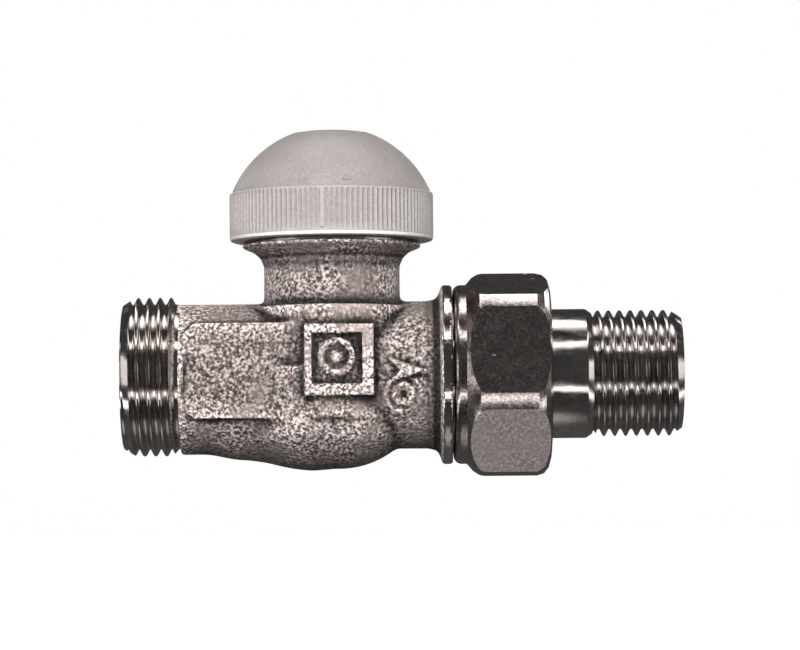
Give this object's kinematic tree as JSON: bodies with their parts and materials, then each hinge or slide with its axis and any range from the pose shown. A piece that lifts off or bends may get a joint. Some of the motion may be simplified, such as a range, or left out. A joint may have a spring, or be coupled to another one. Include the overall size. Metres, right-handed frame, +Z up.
{
  "type": "thermostatic radiator valve",
  "caption": "Straight radiator valve body in nickel-plated brass with a domed plastic screw cap over its stem, a male threaded inlet and a union nut with threaded tailpiece.",
  "frame": {"origin": "centre of the flat end face of the inlet thread", "axes": "+X along the pipe axis from the inlet towards the radiator, +Z up the neck towards the cap, -Y is the front with the square pad"},
  "size_m": [0.0927, 0.0342, 0.0581],
  "materials": {
    "cast_nickel": "sand-cast brass, shot-blasted and nickel plated, matt and grainy, with bright machined threads",
    "bright_nickel": "turned brass, bright nickel plated, with tool marks and light scratches",
    "turned_brass": "turned, bare",
    "stem_steel": "ground stainless",
    "seal_rubber": "moulded black rubber",
    "bush_plastic": "white low-friction plastic",
    "cap_plastic": "moulded light grey plastic, fine matt grain"
  },
  "bodies": {
    "valve_body": {"valve_body": "cast_nickel", "insert_housing": "turned_brass", "insert_o_ring": "seal_rubber", "guide_bush": "bush_plastic", "gland_nut": "turned_brass", "gland_o_ring": "seal_rubber", "pin_o_rings": "seal_rubber", "return_spring": "stem_steel"},
    "stem": {"pressure_pin": "stem_steel", "pin_clip": "stem_steel", "valve_stem": "stem_steel", "spring_plate": "stem_steel", "disc_holder": "turned_brass", "disc_seal": "seal_rubber", "disc_washer": "stem_steel", "disc_nut": "turned_brass"},
    "cap": {"screw_cap": "cap_plastic"},
    "tailpiece": {"tailpiece": "bright_nickel", "tailpiece_o_ring": "seal_rubber"},
    "nut": {"union_nut": "bright_nickel"}
  },
  "joints": [
    {"name": "stem_slide", "type": "slide", "parent": "valve_body", "child": "stem", "axis": [0, 0, 1], "range_m": [0, 0.0025], "deforming": ["return_spring"]},
    {"name": "cap_turn", "type": "hinge", "parent": "stem", "child": "cap", "pos_m": [0.0347, 0, 0.0224], "axis": [0, 0, 1], "range_deg": [0, 600]},
    {"name": "union_slide", "type": "slide", "parent": "valve_body", "child": "tailpiece", "axis": [1, 0, 0], "range_m": [0, 0.00907]},
    {"name": "nut_turn", "type": "hinge", "parent": "tailpiece", "child": "nut", "pos_m": [0.0539, 0, 0], "axis": [1, 0, 0], "range_deg": [0, 1800]}
  ],
  "couplings": [
    {"joint": "cap_turn", "follows": "stem_slide", "rad_per_m": 4188.8},
    {"joint": "nut_turn", "follows": "union_slide", "rad_per_m": 3463.7}
  ]
}
